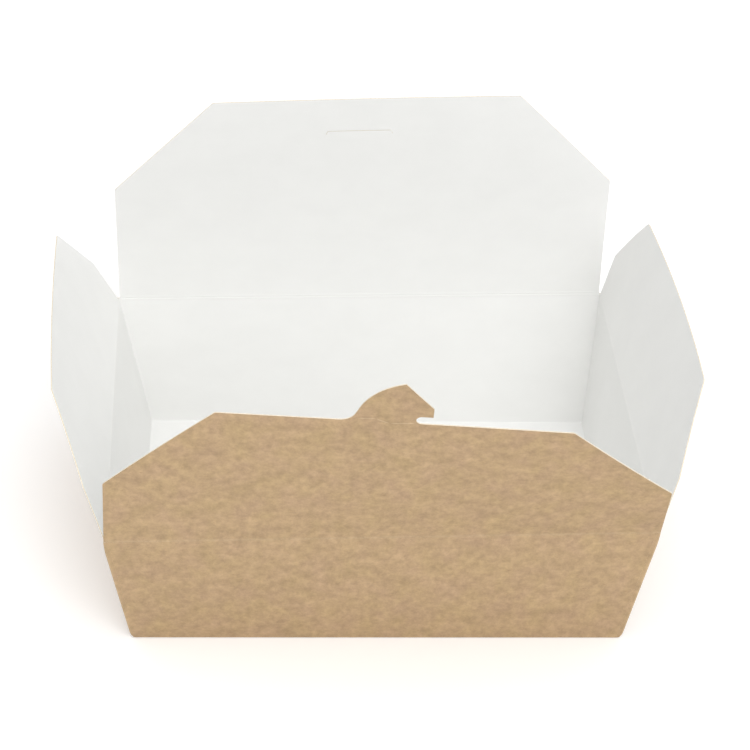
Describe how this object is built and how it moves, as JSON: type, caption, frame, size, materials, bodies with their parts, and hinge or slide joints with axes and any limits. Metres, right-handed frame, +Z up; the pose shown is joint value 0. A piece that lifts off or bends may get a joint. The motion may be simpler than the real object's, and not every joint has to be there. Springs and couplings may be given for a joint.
{
  "type": "takeaway box",
  "caption": "Folded kraft paperboard takeaway box: flared leakproof tray, rear lid flap with a locking slit, front flap with a hooked tab, and two end flaps.",
  "frame": {"origin": "centre of the base's underside", "axes": "+X to the right along the width, +Y to the back where the lid is hinged, +Z up"},
  "size_m": [0.2531, 0.1907, 0.1635],
  "materials": {
    "kraft_board": "uncoated brown kraft face, white lined inside with a soft sheen"
  },
  "bodies": {
    "tray": {"tray": "kraft_board"},
    "rear_lid": {"rear_lid": "kraft_board"},
    "front_flap": {"front_flap": "kraft_board"},
    "left_end_flap": {"left_end_flap": "kraft_board"},
    "right_end_flap": {"right_end_flap": "kraft_board"}
  },
  "joints": [
    {"name": "lid_fold", "type": "hinge", "parent": "tray", "child": "rear_lid", "pos_m": [0, 0.08027, 0.0635], "axis": [-1, 0, 0], "range_deg": [-91, 89]},
    {"name": "front_fold", "type": "hinge", "parent": "tray", "child": "front_flap", "pos_m": [0, -0.0804, 0.0643], "axis": [1, 0, 0], "range_deg": [-106, 74]},
    {"name": "left_fold", "type": "hinge", "parent": "tray", "child": "left_end_flap", "pos_m": [-0.10667, 0, 0.0627], "axis": [0, -1, 0], "range_deg": [-117, 67]},
    {"name": "right_fold", "type": "hinge", "parent": "tray", "child": "right_end_flap", "pos_m": [0.10667, 0, 0.0627], "axis": [0, 1, 0], "range_deg": [-111.5, 72.5]}
  ]
}
